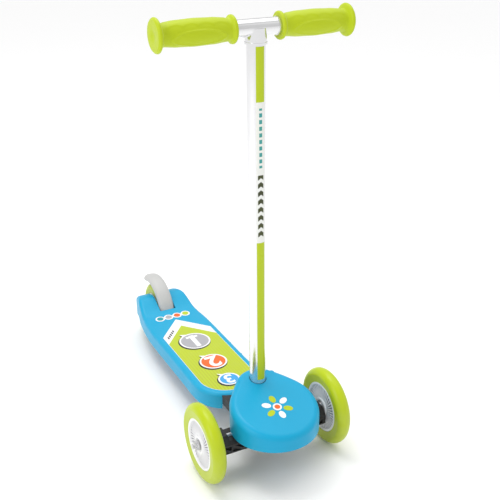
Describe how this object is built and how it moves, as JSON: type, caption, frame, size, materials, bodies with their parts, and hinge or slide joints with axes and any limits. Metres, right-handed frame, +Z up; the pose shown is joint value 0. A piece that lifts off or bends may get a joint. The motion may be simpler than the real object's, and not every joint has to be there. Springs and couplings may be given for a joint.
{
  "type": "kick scooter",
  "caption": "Child's lean-to-steer kick scooter: front wheels on a tilting truck, low moulded deck, upright bar with rubber grips, sprung rear fender brake.",
  "frame": {"origin": "centre of the footprint at floor level, under the wheels", "axes": "+Z up, -Y towards the front wheels, +X to the rider's left"},
  "size_m": [0.278, 0.605, 0.6753],
  "materials": {
    "lime_tyre": "smooth satin moulded tyre",
    "white_plastic": "glossy injection-moulded plastic",
    "black_plastic": "satin moulded plastic with a fine grain",
    "blue_plastic": "glossy injection-moulded plastic",
    "lime_rubber": "soft matte moulded rubber",
    "black_rubber": "soft matte rubber",
    "grey_plastic": "satin moulded plastic",
    "bearing_steel": "ground steel",
    "zinc_steel": "bright zinc-plated steel",
    "chrome_steel": "polished plating",
    "polished_tube": "polished plated tube",
    "nylon": "plain moulded nylon",
    "deck_print": "printed film with chevrons and numbered discs",
    "strip_print": "printed film with lime and white bands",
    "badge_print": "printed film with a plain geometric mark",
    "spring_steel": "bright spring wire"
  },
  "bodies": {
    "deck_frame": {"kingpin_bolt": "zinc_steel", "kingpin_seat_washer": "zinc_steel", "kingpin_top_washer": "zinc_steel", "kingpin_nut": "zinc_steel", "front_chassis": "black_plastic", "left_centring_block": "black_rubber", "right_centring_block": "black_rubber", "column_tube": "polished_tube", "column_bush": "nylon", "column_bolt": "zinc_steel", "column_nut": "zinc_steel", "column_strip": "strip_print", "tee_fitting": "polished_tube", "tee_screw": "zinc_steel", "crossbar": "polished_tube", "left_grip": "lime_rubber", "right_grip": "lime_rubber", "front_cover": "blue_plastic", "cover_badge": "badge_print", "cover_screws": "zinc_steel", "deck_screws": "zinc_steel", "deck_shell": "blue_plastic", "deck_sticker": "deck_print", "rear_axle_bolt": "chrome_steel", "rear_axle_nut": "chrome_steel", "rear_axle_spacers": "zinc_steel", "brake_pivot_pin": "zinc_steel", "brake_spring": "spring_steel"},
    "truck": {"truck_beam": "black_plastic", "steering_bush": "nylon", "front_axle_bolts": "zinc_steel", "front_axle_spacers": "zinc_steel", "front_axle_washers": "zinc_steel", "front_axle_nuts": "chrome_steel"},
    "left_wheel": {"left_tyre": "lime_tyre", "left_hub": "white_plastic", "left_inner_bearing": "bearing_steel", "left_outer_bearing": "bearing_steel", "left_bearing_spacer": "zinc_steel"},
    "right_wheel": {"right_tyre": "lime_tyre", "right_hub": "white_plastic", "right_inner_bearing": "bearing_steel", "right_outer_bearing": "bearing_steel", "right_bearing_spacer": "zinc_steel"},
    "rear_wheel": {"rear_tyre": "lime_tyre", "rear_hub": "white_plastic", "rear_inner_bearing": "bearing_steel", "rear_outer_bearing": "bearing_steel", "rear_bearing_spacer": "zinc_steel"},
    "brake": {"rear_fender": "grey_plastic", "brake_pad": "black_rubber"}
  },
  "joints": [
    {"name": "lean_steer", "type": "hinge", "parent": "deck_frame", "child": "truck", "pos_m": [0, -0.2185, 0.057], "axis": [0, -0.7071, 0.7071], "range_deg": [-8, 8], "stiffness_Nm_per_rad": 20, "deforming": ["left_centring_block", "right_centring_block"]},
    {"name": "left_wheel_spin", "type": "hinge", "parent": "truck", "child": "left_wheel", "pos_m": [0.10625, -0.2115, 0.0625], "axis": [1, 0, 0], "continuous": true},
    {"name": "right_wheel_spin", "type": "hinge", "parent": "truck", "child": "right_wheel", "pos_m": [-0.10625, -0.2115, 0.0625], "axis": [1, 0, 0], "continuous": true},
    {"name": "rear_wheel_spin", "type": "hinge", "parent": "deck_frame", "child": "rear_wheel", "pos_m": [0, 0.2525, 0.05], "axis": [1, 0, 0], "continuous": true},
    {"name": "brake_press", "type": "hinge", "parent": "deck_frame", "child": "brake", "pos_m": [0, 0.1905, 0.056], "axis": [-1, 0, 0], "range_deg": [0, 2.4], "stiffness_Nm_per_rad": 12, "springref_deg": -2.86}
  ]
}
